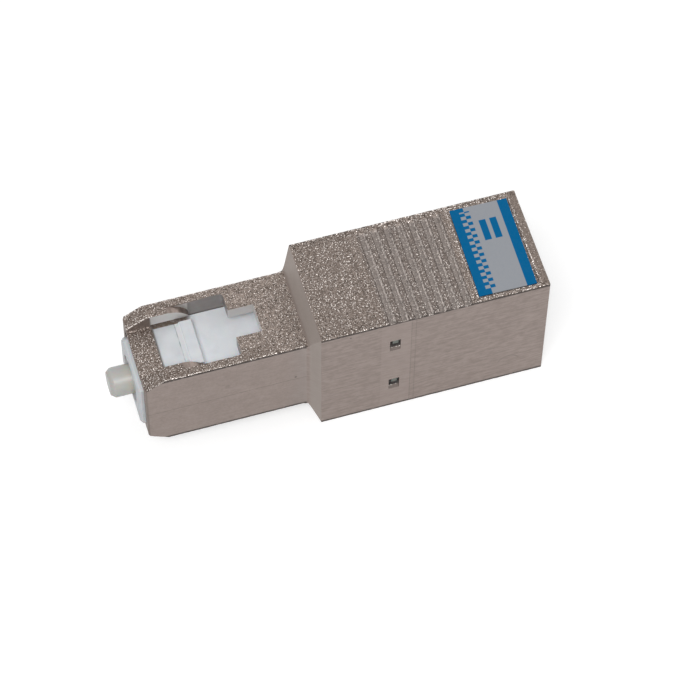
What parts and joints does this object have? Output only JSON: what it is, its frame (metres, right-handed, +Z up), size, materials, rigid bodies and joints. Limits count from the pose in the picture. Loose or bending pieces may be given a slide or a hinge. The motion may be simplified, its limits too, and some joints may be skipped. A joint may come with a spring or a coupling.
{
  "type": "fibre optic attenuator",
  "caption": "Fixed in-line fibre optic attenuator: square push-pull plug with a ceramic ferrule at one end, latching receptacle at the other, in a grooved die-cast metal body.",
  "frame": {"origin": "on the underside plane, below the middle of the part's length and on its centre line", "axes": "+X from the ferrule's tip to the receptacle's mouth, +Y towards the key side, +Z up through the labelled top"},
  "size_m": [0.0358, 0.0094, 0.013],
  "materials": {
    "nickel_casting": "satin",
    "label_film": "satin",
    "white_plastic": "satin",
    "zirconia": "polished",
    "spring_steel": "polished",
    "turned_metal": "satin",
    "doped_glass": "polished"
  },
  "bodies": {
    "housing": {"housing": "nickel_casting", "label": "label_film", "latch_insert": "white_plastic", "sleeve_cap": "white_plastic", "split_sleeve": "zirconia"},
    "plug_frame": {"plug_frame": "white_plastic", "spring": "spring_steel", "spring_stop": "turned_metal"},
    "ferrule": {"ferrule": "zirconia", "ferrule_flange": "turned_metal", "attenuating_fibre": "doped_glass"}
  },
  "joints": [
    {"name": "coupling_slide", "type": "slide", "parent": "housing", "child": "plug_frame", "axis": [1, 0, 0], "range_m": [-0.0012, 0]},
    {"name": "ferrule_float", "type": "slide", "parent": "plug_frame", "child": "ferrule", "axis": [1, 0, 0], "range_m": [0, 0.001], "stiffness_N_per_m": 2000, "deforming": ["spring"]}
  ]
}
